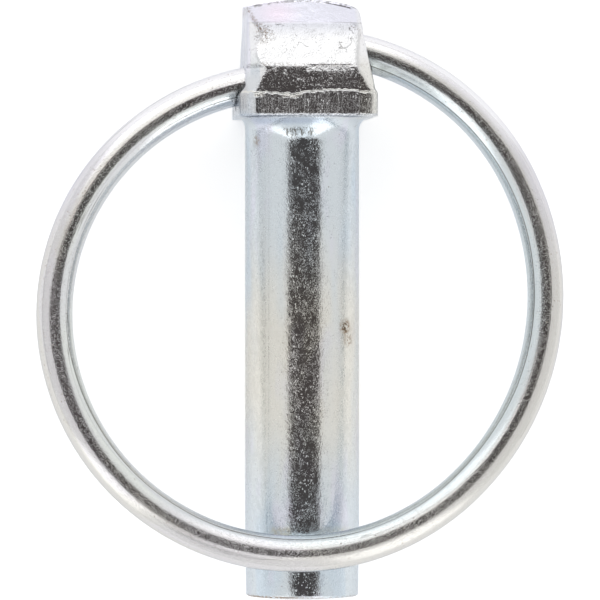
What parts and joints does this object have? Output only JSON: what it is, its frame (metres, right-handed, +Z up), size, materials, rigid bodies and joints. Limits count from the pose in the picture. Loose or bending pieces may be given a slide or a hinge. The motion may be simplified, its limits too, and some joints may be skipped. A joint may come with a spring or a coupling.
{
  "type": "lynch pin",
  "caption": "Forged pin with a block head and a spring wire ring that turns in the head and closes over the shank, to lock a shaft or draw bar.",
  "frame": {"origin": "on the shank's axis, level with the underside of the head", "axes": "+Y along the shank from the tip to the top of the head; +Z up, on the side where the ring closes, with the pin lying on its back; +X across the head towards the upper mouth of the ring's hole"},
  "size_m": [0.0505, 0.0577, 0.0155],
  "materials": {
    "pin_zinc": "bright zinc plate over forged steel, faintly blue and yellow, fine pitting, a few scratches and rust specks",
    "ring_zinc": "bright zinc plate over drawn spring wire, slightly darker and speckled"
  },
  "bodies": {
    "pin": {"pin": "pin_zinc"},
    "ring": {"ring": "ring_zinc"}
  },
  "joints": [
    {"name": "ring_swing", "type": "hinge", "parent": "pin", "child": "ring", "pos_m": [0, 0.0045, 0], "axis": [-0.9703, -0.2419, 0], "range_deg": [0, 341]}
  ]
}
